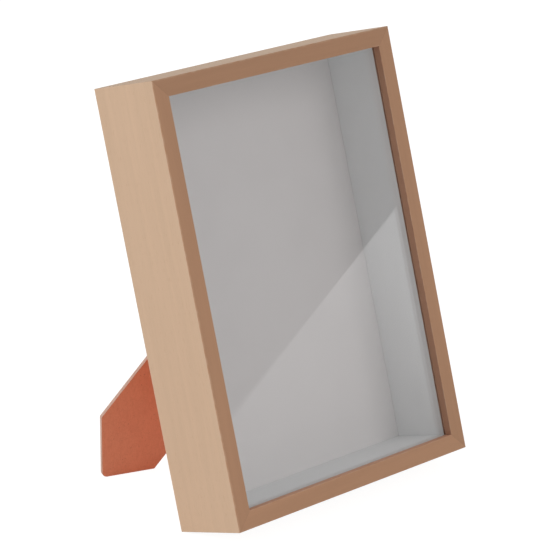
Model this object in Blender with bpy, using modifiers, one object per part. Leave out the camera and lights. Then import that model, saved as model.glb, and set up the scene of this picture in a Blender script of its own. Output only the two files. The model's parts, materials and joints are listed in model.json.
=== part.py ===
"""Deep box frame of pale wood, leaning on its two-way easel strut.

Everything is in metres. The box is modelled upright in its own axes: X runs to the right as
seen from the front, Y runs to the back from the front face at 0, and Z runs up from the
outer bottom face. The empty box_axes then leans the box back until the strut's foot and the
bottom back edge stand on one floor. The origin is the middle of the footprint, on that floor.
"""

import math

import bmesh
import bpy
from mathutils import Matrix, Vector

# Outside of the box and its moulding, which is an L in section: a thin wall with a front lip
BOX_WIDTH = 0.146
BOX_HEIGHT = 0.197
BOX_DEPTH = 0.038
WALL = 0.005
LIP_WIDTH = 0.008
LIP_DEPTH = 0.0038
EDGE_ROUND = 0.0004

# Gap left between pieces that touch, and the running gap of a pin in its barrel
SEAT_GAP = 0.0003
RUNNING_GAP = 0.0001

# What lies in the box, from the front to the back
GLASS_THICKNESS = 0.002
SPACER_THICKNESS = 0.0025
CARD_THICKNESS = 0.0005
PANEL_THICKNESS = 0.002

# Steel nails, bent to an L, that are pressed into the back of each mitre
NAIL_STEEL = 0.0006
NAIL_LEG = 0.0045
NAIL_DEPTH = 0.008

# Turn buttons that hold the back panel, two on the bottom rail and two on the top one
BUTTON_WIDTH = 0.004
BUTTON_REACH = 0.0105
BUTTON_STEEL = 0.0008
BUTTON_SPREAD = 0.048
SCREW_RADIUS = 0.0008
SCREW_LENGTH = 0.009
SCREW_HEAD_RADIUS = 0.0018
SCREW_HEAD_HEIGHT = 0.0009
SCREW_CROSS_REACH = 0.0011
SCREW_CROSS_WIDTH = 0.0004
SCREW_CROSS_DEPTH = 0.0005

# Stance: how far the box leans back, the same on its bottom and on its left side, and how far
# the strut opens before its heel stops it
LEAN = math.radians(15.27)
STRUT_OPEN = math.radians(30.6)

# The strut's hinge, seen from the front: its middle from the left and bottom outer faces, and
# how far its axis dips to the right
HINGE_FROM_LEFT = 0.095
HINGE_FROM_BOTTOM = 0.1102
HINGE_DIP = math.radians(40.0)

# Strut board
STRUT_WIDTH = 0.0412
STRUT_THICKNESS = 0.002
STRUT_TIP_ROUND = 0.0025
STRUT_CORNER_ROUND = 0.0006

# Hinge of the strut: two leaves of sheet steel rolled round a pin
HINGE_WIDTH = 0.024
HINGE_SHEET = 0.0006
PIN_RADIUS = 0.0008
PIN_HEAD_RADIUS = 0.0012
PIN_HEAD_LENGTH = 0.0005
MIDDLE_KNUCKLE = 0.0114
PANEL_LEAF_LENGTH = 0.013
STRUT_LEAF_LENGTH = 0.0155
LEAF_NOTCH_GAP = 0.0004
LEAF_SHOULDER_GAP = 0.0006

# Rivets that hold the leaves
RIVET_RADIUS = 0.001
RIVET_HOLE_GAP = 0.0002
RIVET_HEAD_RADIUS = 0.002
RIVET_HEAD_HEIGHT = 0.0008
RIVET_TAIL_RADIUS = 0.0017
RIVET_TAIL_HEIGHT = 0.0004
RIVET_SPREAD = 0.014
RIVET_FROM_LEAF_END = 0.0045

# Depths in the box, all from the front face
GLASS_FRONT = LIP_DEPTH + SEAT_GAP
GLASS_BACK = GLASS_FRONT + GLASS_THICKNESS
PANEL_FRONT = BOX_DEPTH - PANEL_THICKNESS
CARD_BACK = PANEL_FRONT - SEAT_GAP
CARD_FRONT = CARD_BACK - CARD_THICKNESS

# The hinge barrel's outer radius, and how deep its axis lies behind the front face
BARREL_RADIUS = PIN_RADIUS + RUNNING_GAP + HINGE_SHEET
AXIS_DEPTH = BOX_DEPTH + SEAT_GAP + BARREL_RADIUS

# How much lower the leaning box stands because its outer edges are eased
EDGE_DROP = EDGE_ROUND * math.sin(LEAN)

# Half the gap of a mitre, measured along the rail
MITRE_GAP_ALONG = SEAT_GAP / 2 * math.sqrt(2)

# How far cutters reach past the face that they open
CUT_PAST = 0.001

# Steps of a full circle, a hinge barrel's wrap, a rounded corner, a domed head and an eased edge
ROUND_STEPS = 24
BARREL_STEPS = 32
CORNER_STEPS = 6
DOME_STEPS = 5
EASED_STEPS = 2
SHARP_ANGLE = math.radians(35)

# Points closer than this are one point
WELD = 0.000005

# Each finish: its colour on screen from 0 to 255, roughness, metallic share and transmission
FINISHES = {
    "pale_wood": ((214, 184, 156), 0.5, 0.0, 0.0),
    "brown_hardboard": ((190, 112, 82), 0.7, 0.0, 0.0),
    "white_board": ((236, 236, 234), 0.8, 0.0, 0.0),
    "clear_glass": ((245, 250, 248), 0.02, 0.0, 1.0),
    "zinc_steel": ((190, 192, 194), 0.35, 1.0, 0.0),
}

SIDES = ("bottom", "left", "top", "right")
CORNERS = ("bottom_left", "top_left", "top_right", "bottom_right")

# Turns that lay a flat outline from the XY plane into the plane that a piece needs
OUTLINE_TO_XZ = Matrix.Rotation(math.radians(90), 4, "X")
OUTLINE_TO_YZ = Matrix.Rotation(math.radians(90), 4, "Z") @ OUTLINE_TO_XZ

# A turned piece's axis is its own Z, and this turn points it to the back of the box
AXIS_TO_BACK = (math.radians(-90), 0, 0)


def clear_scene():
    """Removes whatever the file holds."""
    for item in list(bpy.data.objects):
        bpy.data.objects.remove(item, do_unlink=True)


def new_collection(name):
    """A collection that hangs in the scene's own."""
    collection = bpy.data.collections.new(name)
    bpy.context.scene.collection.children.link(collection)
    return collection


def linear(value):
    """One screen colour value from 0 to 255 as the linear value that a shader takes."""
    value /= 255
    if value <= 0.04045:
        return value / 12.92
    return ((value + 0.055) / 1.055) ** 2.4


def new_material(name, colour, roughness, metallic, transmission):
    """One finish as a material."""
    material = bpy.data.materials.new(name)
    material.use_nodes = True
    shader = material.node_tree.nodes["Principled BSDF"]
    shader.inputs["Base Color"].default_value = [linear(value) for value in colour] + [1]
    shader.inputs["Roughness"].default_value = roughness
    shader.inputs["Metallic"].default_value = metallic
    shader.inputs["Transmission Weight"].default_value = transmission
    return material


def new_empty(name, parent=None, location=(0, 0, 0), rotation=(0, 0, 0)):
    """An empty that carries the axes of what is parented to it."""
    empty = bpy.data.objects.new(name, None)
    bpy.context.scene.collection.objects.link(empty)
    empty.empty_display_size = BOX_DEPTH
    empty.parent = parent
    empty.location = location
    empty.rotation_euler = rotation
    return empty


class Workshop:
    """Keeps the two collections and makes pieces and cutters in them."""

    def __init__(self):
        self.parts = new_collection("box_frame")
        self.cutters = new_collection("cutters")

    def piece(self, name, mesh, material, parent, location=(0, 0, 0), rotation=(0, 0, 0)):
        """A piece of the object, placed in its parent's axes."""
        piece = bpy.data.objects.new(name, mesh)
        self.parts.objects.link(piece)
        mesh.materials.append(material)
        piece.parent = parent
        piece.location = location
        piece.rotation_euler = rotation
        return piece

    def cutter(self, name, mesh, parent, location=(0, 0, 0), rotation=(0, 0, 0)):
        """A shape that only cuts, placed in its parent's axes."""
        cutter = bpy.data.objects.new(name, mesh)
        self.cutters.objects.link(cutter)
        cutter.parent = parent
        cutter.location = location
        cutter.rotation_euler = rotation
        cutter.hide_render = True
        cutter.display_type = "WIRE"
        return cutter


def cut(piece, cutter):
    """Takes the cutter's shape out of the piece."""
    step = piece.modifiers.new(cutter.name, "BOOLEAN")
    step.operation = "DIFFERENCE"
    step.object = cutter
    step.solver = "EXACT"


def box_mesh(name, low, high):
    """A box between two corners."""
    low, high = Vector(low), Vector(high)
    shape = bmesh.new()
    bmesh.ops.create_cube(shape, size=1)
    bmesh.ops.scale(shape, verts=shape.verts, vec=high - low)
    bmesh.ops.translate(shape, verts=shape.verts, vec=(low + high) / 2)
    return finished_mesh(name, shape)


def rod_mesh(name, radius, length):
    """A rod centred on the origin, with its axis along Y."""
    shape = bmesh.new()
    bmesh.ops.create_cone(shape, cap_ends=True, segments=ROUND_STEPS, radius1=radius,
                          radius2=radius, depth=length, matrix=OUTLINE_TO_XZ)
    return finished_mesh(name, shape)


def finished_mesh(name, shape):
    """The shape as a mesh, smooth but for its sharp edges."""
    mesh = bpy.data.meshes.new(name)
    shape.to_mesh(mesh)
    shape.free()
    mesh.shade_smooth()
    mesh.set_sharp_from_angle(angle=SHARP_ANGLE)
    return mesh


def arc(radius, start, end, steps):
    """Points of an arc about the origin, from one angle to another, with both ends."""
    turns = [start + (end - start) * step / steps for step in range(steps + 1)]
    return [(radius * math.cos(turn), radius * math.sin(turn)) for turn in turns]


def circle(radius):
    """Points of a full circle about the origin."""
    return arc(radius, 0, 2 * math.pi, ROUND_STEPS)[:-1]


def rounded(corners, radii):
    """An outline, anticlockwise, with each corner turned into an arc of its own radius."""
    corners = [Vector(corner) for corner in corners]
    points = []
    for index, corner in enumerate(corners):
        if not radii[index]:
            points.append(corner)
            continue
        back = (corners[index - 1] - corner).normalized()
        ahead = (corners[(index + 1) % len(corners)] - corner).normalized()
        half = back.angle(ahead) / 2
        centre = corner + (back + ahead).normalized() * radii[index] / math.sin(half)
        start = corner + back * radii[index] / math.tan(half) - centre
        for step in range(CORNER_STEPS + 1):
            turn = (math.pi - 2 * half) * step / CORNER_STEPS
            points.append(centre + Matrix.Rotation(turn, 2) @ start)
    return points


def slab_mesh(name, outlines, thickness, turn):
    """A flat outline, with its holes, made thick about its own plane and then turned."""
    curve = bpy.data.curves.new(name, "CURVE")
    curve.dimensions = "2D"
    curve.fill_mode = "BOTH"
    curve.extrude = thickness / 2
    for outline in outlines:
        spline = curve.splines.new("POLY")
        spline.points.add(len(outline) - 1)
        for point, place in zip(spline.points, outline):
            point.co = (place[0], place[1], 0, 1)
        spline.use_cyclic_u = True
    guide = bpy.data.objects.new(name, curve)
    bpy.context.scene.collection.objects.link(guide)
    evaluated = guide.evaluated_get(bpy.context.evaluated_depsgraph_get())
    flat = bpy.data.meshes.new_from_object(evaluated)
    shape = bmesh.new()
    shape.from_mesh(flat)
    bmesh.ops.remove_doubles(shape, verts=shape.verts, dist=WELD)
    bmesh.ops.transform(shape, matrix=turn, verts=shape.verts)
    bpy.data.objects.remove(guide, do_unlink=True)
    bpy.data.meshes.remove(flat)
    return finished_mesh(name, shape)


def turn(piece):
    """Spins the piece's profile round its own Z axis."""
    spin = piece.modifiers.new("turned", "SCREW")
    spin.steps = ROUND_STEPS
    spin.render_steps = ROUND_STEPS
    spin.use_merge_vertices = True
    spin.merge_threshold = WELD
    spin.use_smooth_shade = True


def profile_mesh(name, points):
    """A profile of radius and height, from its top down its outer side."""
    mesh = bpy.data.meshes.new(name)
    vertices = [(radius, 0, height) for radius, height in points]
    edges = [(index, index + 1) for index in range(len(points) - 1)]
    mesh.from_pydata(vertices, edges, [])
    return mesh


def dome(radius, height, base):
    """Profile points of a domed head, from its top to the rim of its base."""
    turns = [math.pi / 2 * step / DOME_STEPS for step in range(DOME_STEPS + 1)]
    return [(radius * math.sin(turn), base + height * math.cos(turn)) for turn in turns]


def side_length(side):
    """The length of a side's rail, over its mitres' long ends."""
    return BOX_WIDTH if side in ("bottom", "top") else BOX_HEIGHT


def side_empties(box_axes):
    """One empty a side, with X along the side and Z pointing into the box."""
    centres = {
        "bottom": (0, 0, 0),
        "left": (-BOX_WIDTH / 2, 0, BOX_HEIGHT / 2),
        "top": (0, 0, BOX_HEIGHT),
        "right": (BOX_WIDTH / 2, 0, BOX_HEIGHT / 2),
    }
    return {side: new_empty("side_" + side, box_axes, centres[side],
                            (0, math.radians(90) * index, 0))
            for index, side in enumerate(SIDES)}


def rail_mesh(side):
    """The L moulding along X, with its ends sawn to mitres and its long edges marked."""
    section = [(0, 0), (BOX_DEPTH, 0), (BOX_DEPTH, WALL), (LIP_DEPTH, WALL),
               (LIP_DEPTH, LIP_WIDTH), (0, LIP_WIDTH)]
    length = side_length(side)
    blank = slab_mesh("rail_blank", [section], length, OUTLINE_TO_YZ)
    shape = bmesh.new()
    shape.from_mesh(blank)
    bpy.data.meshes.remove(blank)
    for end in (-1, 1):
        sawn = bmesh.ops.bisect_plane(
            shape, geom=shape.verts[:] + shape.edges[:] + shape.faces[:], clear_outer=True,
            plane_co=(end * (length / 2 - MITRE_GAP_ALONG), 0, 0), plane_no=(end, 0, 1))
        rim = [item for item in sawn["geom_cut"] if isinstance(item, bmesh.types.BMEdge)]
        bmesh.ops.edgeloop_fill(shape, edges=rim)
    bmesh.ops.recalc_face_normals(shape, faces=shape.faces)
    weight = shape.edges.layers.float.new("bevel_weight_edge")
    for edge in shape.edges:
        first, second = (vertex.co for vertex in edge.verts)
        lengthwise = abs(first.x - second.x) > length / 2
        if lengthwise and edge.calc_face_angle_signed() > 0:
            edge[weight] = 1
    return finished_mesh("rail_" + side, shape)


def make_rails(shop, sides, wood):
    """The four rails, by side, with their long outer edges eased."""
    rails = {}
    for side in SIDES:
        rail = shop.piece("rail_" + side, rail_mesh(side), wood, sides[side])
        ease = rail.modifiers.new("eased_edges", "BEVEL")
        ease.limit_method = "WEIGHT"
        ease.width = EDGE_ROUND
        ease.segments = EASED_STEPS
        rails[side] = rail
    return rails


def nail_outline(side, grow=0.0):
    """The L of a corner nail at the end of a side that its own -X points to."""
    start = -side_length(side) / 2
    near = WALL / 2 - NAIL_STEEL / 2 - grow
    far = WALL / 2 + NAIL_STEEL / 2 + grow
    tip = WALL / 2 + NAIL_LEG + grow
    outline = [(near, near), (tip, near), (tip, far), (far, far), (far, tip), (near, tip)]
    return [(start + across, up) for across, up in outline]


def make_corner_nails(shop, sides, rails, steel):
    """One nail a mitre, in a slot that both of its rails share."""
    for index, side in enumerate(SIDES):
        corner = CORNERS[index]
        nail = slab_mesh("corner_nail", [nail_outline(side)], NAIL_DEPTH, OUTLINE_TO_XZ)
        middle = BOX_DEPTH - SEAT_GAP - NAIL_DEPTH / 2
        shop.piece("corner_nail_" + corner, nail, steel, sides[side], (0, middle, 0))
        slot_depth = NAIL_DEPTH + 2 * SEAT_GAP + CUT_PAST
        slot = slab_mesh("slot", [nail_outline(side, SEAT_GAP)], slot_depth, OUTLINE_TO_XZ)
        slot_middle = BOX_DEPTH + CUT_PAST - slot_depth / 2
        slot_cutter = shop.cutter("nail_slot_" + corner, slot, sides[side],
                                  (0, slot_middle, 0))
        cut(rails[side], slot_cutter)
        cut(rails[SIDES[(index + 1) % len(SIDES)]], slot_cutter)


def sheet_corners(front, back):
    """Corners of a sheet that fills the box between its walls."""
    inset = WALL + SEAT_GAP
    return ((-BOX_WIDTH / 2 + inset, front, inset),
            (BOX_WIDTH / 2 - inset, back, BOX_HEIGHT - inset))


def make_layers(shop, box_axes, glass, white_card, hardboard):
    """The glass, the white backing card and the back panel, which is returned."""
    shop.piece("glass_pane", box_mesh("glass", *sheet_corners(GLASS_FRONT, GLASS_BACK)),
               glass, box_axes)
    shop.piece("backing_card", box_mesh("card", *sheet_corners(CARD_FRONT, CARD_BACK)),
               white_card, box_axes)
    panel = box_mesh("panel", *sheet_corners(PANEL_FRONT, BOX_DEPTH))
    return shop.piece("back_panel", panel, hardboard, box_axes)


def make_spacers(shop, sides, white_board):
    """Strips between glass and card, with the upright ones between the level ones."""
    inset = WALL + SEAT_GAP
    for side in SIDES:
        half = side_length(side) / 2 - inset
        if side in ("left", "right"):
            half -= SPACER_THICKNESS + SEAT_GAP
        strip = box_mesh("spacer", (-half, GLASS_BACK + SEAT_GAP, inset),
                         (half, CARD_FRONT - SEAT_GAP, inset + SPACER_THICKNESS))
        shop.piece("spacer_" + side, strip, white_board, sides[side])


def make_turn_buttons(shop, sides, rails, steel):
    """Two buttons on each level side, which turn on screws in the back edge of the rail."""
    end = arc(BUTTON_WIDTH / 2, 0, math.pi, ROUND_STEPS // 2)
    outline = ([(across, BUTTON_REACH + up) for across, up in end]
               + [(-across, -up) for across, up in end])
    hole = circle(SCREW_RADIUS + SEAT_GAP)
    seat = BOX_DEPTH + SEAT_GAP
    under_head = BUTTON_STEEL + 2 * SEAT_GAP
    profile = dome(SCREW_HEAD_RADIUS, SCREW_HEAD_HEIGHT, under_head) + [
        (SCREW_RADIUS, under_head), (SCREW_RADIUS, -SCREW_LENGTH + SCREW_RADIUS * 2),
        (0, -SCREW_LENGTH)]
    head_top = under_head + SCREW_HEAD_HEIGHT
    arm, wide = SCREW_CROSS_REACH, SCREW_CROSS_WIDTH / 2
    for corner in CORNERS:
        side, hand = corner.split("_")
        outward = 1 if hand == "right" else -1
        rightward = 1 if side == "bottom" else -1
        across = outward * rightward * BUTTON_SPREAD / 2
        plate = slab_mesh("turn_button", [outline, hole], BUTTON_STEEL, OUTLINE_TO_XZ)
        shop.piece("turn_button_" + corner, plate, steel, sides[side],
                   (across, seat + BUTTON_STEEL / 2, WALL / 2))
        screw = shop.piece("button_screw_" + corner, profile_mesh("screw", profile), steel,
                           sides[side], (across, BOX_DEPTH, WALL / 2), AXIS_TO_BACK)
        turn(screw)
        for name, half, along in (("cross_up_", wide, arm), ("cross_over_", arm, wide)):
            groove = box_mesh("groove", (-half, -along, head_top - SCREW_CROSS_DEPTH),
                              (half, along, head_top + CUT_PAST))
            cut(screw, shop.cutter(name + corner, groove, sides[side], screw.location,
                                   AXIS_TO_BACK))
        bore = rod_mesh("pilot", SCREW_RADIUS + RUNNING_GAP, 2 * (SCREW_LENGTH + SEAT_GAP))
        cut(rails[side], shop.cutter("pilot_hole_" + corner, bore, sides[side],
                                     screw.location))


def foot_edge(hinge_share, strut_share, distance):
    """The line on the open strut's inner face that meets the floor.

    A point of the board lies some way across, along the hinge, and some way down from it.
    The shares say how much of each way leads to the outer face that the frame stands on,
    and the distance is the hinge's own from that face. All points on the line have
    across * first + down * second = third, for the three values given back.
    """
    inner = inner_face()
    swing, reach = math.sin(STRUT_OPEN), math.cos(STRUT_OPEN)
    rise = math.tan(LEAN)
    behind = AXIS_DEPTH - BOX_DEPTH + inner * reach
    down = reach * strut_share + swing * rise
    return hinge_share, down, distance + inner * swing * strut_share - behind * rise


def inner_face():
    """How far the strut's inner face lies behind the hinge axis, with the strut shut."""
    return BARREL_RADIUS - HINGE_SHEET - SEAT_GAP - STRUT_THICKNESS


def strut_outline():
    """The board with its two foot edges, one for each way that the frame stands."""
    dip_sin, dip_cos = math.sin(HINGE_DIP), math.cos(HINGE_DIP)
    floor = EDGE_DROP / math.cos(LEAN)
    upright = foot_edge(dip_sin, dip_cos, HINGE_FROM_BOTTOM - floor)
    sideways = foot_edge(-dip_cos, dip_sin, HINGE_FROM_LEFT - floor)
    lines = Matrix((upright[:2], sideways[:2]))
    tip = lines.inverted() @ Vector((upright[2], sideways[2]))
    half = STRUT_WIDTH / 2
    right_foot = (upright[2] - upright[0] * half) / upright[1]
    left_foot = (sideways[2] + sideways[0] * half) / sideways[1]
    top = BARREL_RADIUS + LEAF_SHOULDER_GAP
    corners = [(-half, -top), (-half, -left_foot), (tip.x, -tip.y), (half, -right_foot),
               (half, -top)]
    ends = STRUT_CORNER_ROUND
    return rounded(corners, [ends, ends, STRUT_TIP_ROUND, ends, ends])


def rivet_profile(grip):
    """A rivet whose head sits on its leaf at height 0 and whose tail lies grip below."""
    return dome(RIVET_HEAD_RADIUS, RIVET_HEAD_HEIGHT, SEAT_GAP) + [
        (RIVET_RADIUS, SEAT_GAP), (RIVET_RADIUS, -grip + RIVET_TAIL_HEIGHT),
        (RIVET_TAIL_RADIUS, -grip + RIVET_TAIL_HEIGHT), (RIVET_TAIL_RADIUS, -grip), (0, -grip)]


def make_rivets(shop, name, parent, leaf, board, leaf_face, height, board_face, steel):
    """Two rivets through a leaf and the board under it, with their tails let in."""
    grip = leaf_face - board_face
    for hand, across in (("left", -RIVET_SPREAD / 2), ("right", RIVET_SPREAD / 2)):
        rivet = shop.piece(name + hand, profile_mesh("rivet", rivet_profile(grip)), steel,
                           parent, (across, leaf_face, height), AXIS_TO_BACK)
        turn(rivet)
        hole_mesh = rod_mesh("hole", RIVET_RADIUS + RIVET_HOLE_GAP, 2 * (grip + CUT_PAST))
        hole = shop.cutter(name + "hole_" + hand, hole_mesh, parent,
                           (across, leaf_face, height))
        cut(leaf, hole)
        cut(board, hole)
        recess_mesh = rod_mesh("recess", RIVET_TAIL_RADIUS + SEAT_GAP,
                               2 * (RIVET_TAIL_HEIGHT + SEAT_GAP))
        cut(board, shop.cutter(name + "recess_" + hand, recess_mesh, parent,
                               (across, board_face, height)))


def make_leaf(shop, name, parent, outline, notches, steel):
    """A leaf rolled from one sheet across the whole hinge, with notches for the other leaf."""
    bore = circle(PIN_RADIUS + RUNNING_GAP)
    sheet = slab_mesh("leaf", [outline, bore], HINGE_WIDTH, OUTLINE_TO_YZ)
    leaf = shop.piece(name, sheet, steel, parent)
    for index, (low, high) in enumerate(notches):
        cut(leaf, shop.cutter(f"{name}_notch_{index}", box_mesh("notch", low, high), parent))
    return leaf


def make_hinge(shop, seat, swing, panel, strut, steel):
    """Both leaves, their pin and their rivets. The strut leaf's heel is the stop."""
    half = HINGE_WIDTH / 2
    past = half + CUT_PAST
    middle = MIDDLE_KNUCKLE / 2
    sheet = BARREL_RADIUS - HINGE_SHEET
    notch = BARREL_RADIUS + LEAF_NOTCH_GAP
    meet = math.acos(sheet / BARREL_RADIUS)
    wide = HINGE_WIDTH

    panel_outline = ([(-BARREL_RADIUS, PANEL_LEAF_LENGTH)]
                     + arc(BARREL_RADIUS, math.pi, 3 * math.pi - meet, BARREL_STEPS)
                     + [(-sheet, PANEL_LEAF_LENGTH)])
    inner = middle + SEAT_GAP
    panel_leaf = make_leaf(shop, "hinge_panel_leaf", seat, panel_outline,
                           [((-inner, -wide, -wide), (inner, wide, notch))], steel)

    heel = (sheet * math.cos(STRUT_OPEN) + sheet - SEAT_GAP) / math.sin(STRUT_OPEN)
    tongue_outline = ([(BARREL_RADIUS, -STRUT_LEAF_LENGTH), (BARREL_RADIUS, heel),
                       (sheet, heel)]
                      + arc(BARREL_RADIUS, meet, 2 * math.pi - meet, BARREL_STEPS)
                      + [(sheet, -STRUT_LEAF_LENGTH)])
    strut_leaf = make_leaf(shop, "hinge_strut_leaf", swing, tongue_outline,
                           [((-past, -wide, -notch), (-middle, wide, wide)),
                            ((middle, -wide, -notch), (past, wide, wide))], steel)

    end = half + SEAT_GAP
    profile = [(0, end + PIN_HEAD_LENGTH), (PIN_HEAD_RADIUS, end + PIN_HEAD_LENGTH),
               (PIN_HEAD_RADIUS, end), (PIN_RADIUS, end), (PIN_RADIUS, -end),
               (PIN_HEAD_RADIUS, -end), (PIN_HEAD_RADIUS, -end - PIN_HEAD_LENGTH),
               (0, -end - PIN_HEAD_LENGTH)]
    pin = shop.piece("hinge_pin", profile_mesh("pin", profile), steel, seat,
                     rotation=(0, math.radians(90), 0))
    turn(pin)

    make_rivets(shop, "panel_rivet_", seat, panel_leaf, panel, -sheet,
                PANEL_LEAF_LENGTH - RIVET_FROM_LEAF_END, PANEL_FRONT - AXIS_DEPTH, steel)
    make_rivets(shop, "strut_rivet_", swing, strut_leaf, strut, BARREL_RADIUS,
                -STRUT_LEAF_LENGTH + RIVET_FROM_LEAF_END, inner_face(), steel)


def make_strut(shop, swing, hardboard):
    """The strut's board, which hangs behind its hinge axis."""
    board = slab_mesh("strut", [strut_outline()], STRUT_THICKNESS, OUTLINE_TO_XZ)
    middle = inner_face() + STRUT_THICKNESS / 2
    return shop.piece("easel_strut", board, hardboard, swing, (0, middle, 0))


def footprint_middle():
    """How far behind the bottom back edge the middle of the footprint lies."""
    front = EDGE_DROP - BOX_DEPTH * math.cos(LEAN)
    outer = inner_face() + STRUT_THICKNESS
    swing, reach = math.sin(STRUT_OPEN), math.cos(STRUT_OPEN)
    backs = []
    for point in strut_outline():
        down = -point.y
        behind = AXIS_DEPTH - BOX_DEPTH + down * swing + outer * reach
        level = down * reach - outer * swing
        up = HINGE_FROM_BOTTOM - point.x * math.sin(HINGE_DIP) - level * math.cos(HINGE_DIP)
        backs.append(behind * math.cos(LEAN) + up * math.sin(LEAN))
    return (front + max(backs)) / 2


def main():
    """Builds the box in its leaning axes, and then the strut on its open hinge."""
    clear_scene()
    shop = Workshop()
    wood, hardboard, white_board, glass, steel = (
        new_material(name, *finish) for name, finish in FINISHES.items())

    edge_behind = -footprint_middle()
    box_axes = new_empty("box_axes", None,
                         (0, edge_behind - BOX_DEPTH * math.cos(LEAN),
                          BOX_DEPTH * math.sin(LEAN) - EDGE_DROP), (-LEAN, 0, 0))
    sides = side_empties(box_axes)
    rails = make_rails(shop, sides, wood)
    make_corner_nails(shop, sides, rails, steel)
    panel = make_layers(shop, box_axes, glass, white_board, hardboard)
    make_spacers(shop, sides, white_board)
    make_turn_buttons(shop, sides, rails, steel)

    axis = (HINGE_FROM_LEFT - BOX_WIDTH / 2, AXIS_DEPTH, HINGE_FROM_BOTTOM)
    seat = new_empty("hinge_seat", box_axes, axis, (0, HINGE_DIP, 0))
    swing = new_empty("strut_swing", seat, rotation=(STRUT_OPEN, 0, 0))
    strut = make_strut(shop, swing, hardboard)
    make_hinge(shop, seat, swing, panel, strut, steel)


main()
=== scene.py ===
"""The looks of a deep box frame of pale wood that leans on its easel strut.

Everything is in metres. The box has axes of its own, which lean back with it: X runs to the
right as seen from the front, Y to the back from the front face, and Z up from the outer
bottom face. Each side has axes too: X along the side, Y to the back and Z into the box.
"""

import json
import logging
import math
from dataclasses import dataclass
from enum import Enum
from functools import lru_cache
from typing import Any, Mapping, Sequence, Union

import bmesh
import bpy
from mathutils import Matrix, Vector

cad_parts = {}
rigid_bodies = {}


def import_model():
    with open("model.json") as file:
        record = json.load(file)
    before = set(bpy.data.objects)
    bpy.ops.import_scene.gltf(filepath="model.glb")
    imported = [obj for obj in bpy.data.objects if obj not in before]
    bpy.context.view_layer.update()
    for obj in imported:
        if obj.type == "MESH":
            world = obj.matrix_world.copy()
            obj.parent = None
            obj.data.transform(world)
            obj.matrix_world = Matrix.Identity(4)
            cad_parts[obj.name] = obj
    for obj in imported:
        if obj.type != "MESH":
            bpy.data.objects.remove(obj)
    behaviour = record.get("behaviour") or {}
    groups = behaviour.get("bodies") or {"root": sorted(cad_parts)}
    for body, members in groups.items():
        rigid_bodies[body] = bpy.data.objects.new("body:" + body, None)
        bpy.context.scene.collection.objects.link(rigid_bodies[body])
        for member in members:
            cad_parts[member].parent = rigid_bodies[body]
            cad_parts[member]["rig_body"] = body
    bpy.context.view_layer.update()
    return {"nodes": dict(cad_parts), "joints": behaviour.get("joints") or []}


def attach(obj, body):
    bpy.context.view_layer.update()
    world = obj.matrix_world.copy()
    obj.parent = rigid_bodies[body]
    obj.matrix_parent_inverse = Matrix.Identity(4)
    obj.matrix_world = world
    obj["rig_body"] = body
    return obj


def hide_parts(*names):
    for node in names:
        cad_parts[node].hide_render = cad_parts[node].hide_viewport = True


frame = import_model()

LOG = logging.getLogger("box_frame")

# Points closer than this are one point, and faces that differ by less lie in one plane
WELD = 0.000001
FLAT_ANGLE = math.radians(0.5)
SHARP_ANGLE = math.radians(35)

# A face looks along a way when its normal's share of that way is more than this
LOOKS_ALONG = math.cos(math.radians(45))

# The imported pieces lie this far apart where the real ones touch
SEAT_GAP = 0.0003

# Joints that look tight keep this gap, so that no two faces share a plane
HAIRLINE = 0.00002

# How far a piece moves to seat on its neighbour
SEAT_SHIFT = SEAT_GAP - HAIRLINE

# Every noise lies round this value
MIDDLE = 0.5

# Names of the mesh attributes that the finishes read
OWN_PLACE = "own_place"
WORN = "worn"

# Painted light on each rail: how pale each one's outer faces, front face and inner lip edge are
# drawn.
# The top is painted darker, and the bottom and left fronts and the bottom's inner lip edge
# paler, as light falls on them
PAINTED_LIGHT_TONES = {"bottom": (0.97, 1.06, 1.5), "left": (1.0, 1.025, 1.1), "top": (0.85, 0.93, 1.0),
         "right": (0.95, 1.0, 1.0)}

CORNERS = ("bottom_left", "top_left", "top_right", "bottom_right")
HANDS = ("left", "right")

Colour = tuple[float, float, float]
Point = tuple[float, float, float]
Shares = tuple[float, ...]
Span = tuple[float, float]
Value = Union["Socket", float, Sequence[float]]

WHITE: Colour = (1.0, 1.0, 1.0)


class Side(Enum):
    """The sides of the box, as quarter turns from the bottom."""

    BOTTOM = 0
    LEFT = 1
    TOP = 2
    RIGHT = 3

    @property
    def label(self) -> str:
        """The side's name as pieces use it."""
        return self.name.lower()

    @property
    def level(self) -> bool:
        """True for the bottom and the top."""
        return self in (Side.BOTTOM, Side.TOP)


class Slot(Enum):
    """The record's material slots."""

    WOOD = "pale_wood"
    HARDBOARD = "brown_hardboard"
    BOARD = "white_board"
    GLASS = "clear_glass"
    STEEL = "zinc_steel"


@dataclass(frozen=True)
class Noise:
    """Smooth noise.

    Attributes:
        stretch: How many features lie in a metre along each axis.
        detail: How many finer layers it has.
        distortion: How much it winds.
    """

    stretch: tuple[float, float, float]
    detail: float = 2.0
    distortion: float = 0.0


class Socket:
    """A node's output, on which Python's operators add Math nodes."""

    def __init__(self, tree: "Tree", output: bpy.types.NodeSocket) -> None:
        """Wraps one output.

        Args:
            tree: The tree that the node is in.
            output: The node's output socket.
        """
        self.tree = tree
        self.output = output

    def __add__(self, other: Value) -> "Socket":
        """This value plus the other."""
        return self.tree.math("ADD", self, other)

    __radd__ = __add__

    def __sub__(self, other: Value) -> "Socket":
        """This value less the other."""
        return self.tree.math("SUBTRACT", self, other)

    def __rsub__(self, other: Value) -> "Socket":
        """The other value less this one."""
        return self.tree.math("SUBTRACT", other, self)

    def __mul__(self, other: Value) -> "Socket":
        """This value times the other."""
        return self.tree.math("MULTIPLY", self, other)

    def __abs__(self) -> "Socket":
        """This value without its sign."""
        return self.tree.math("ABSOLUTE", self)


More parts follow.
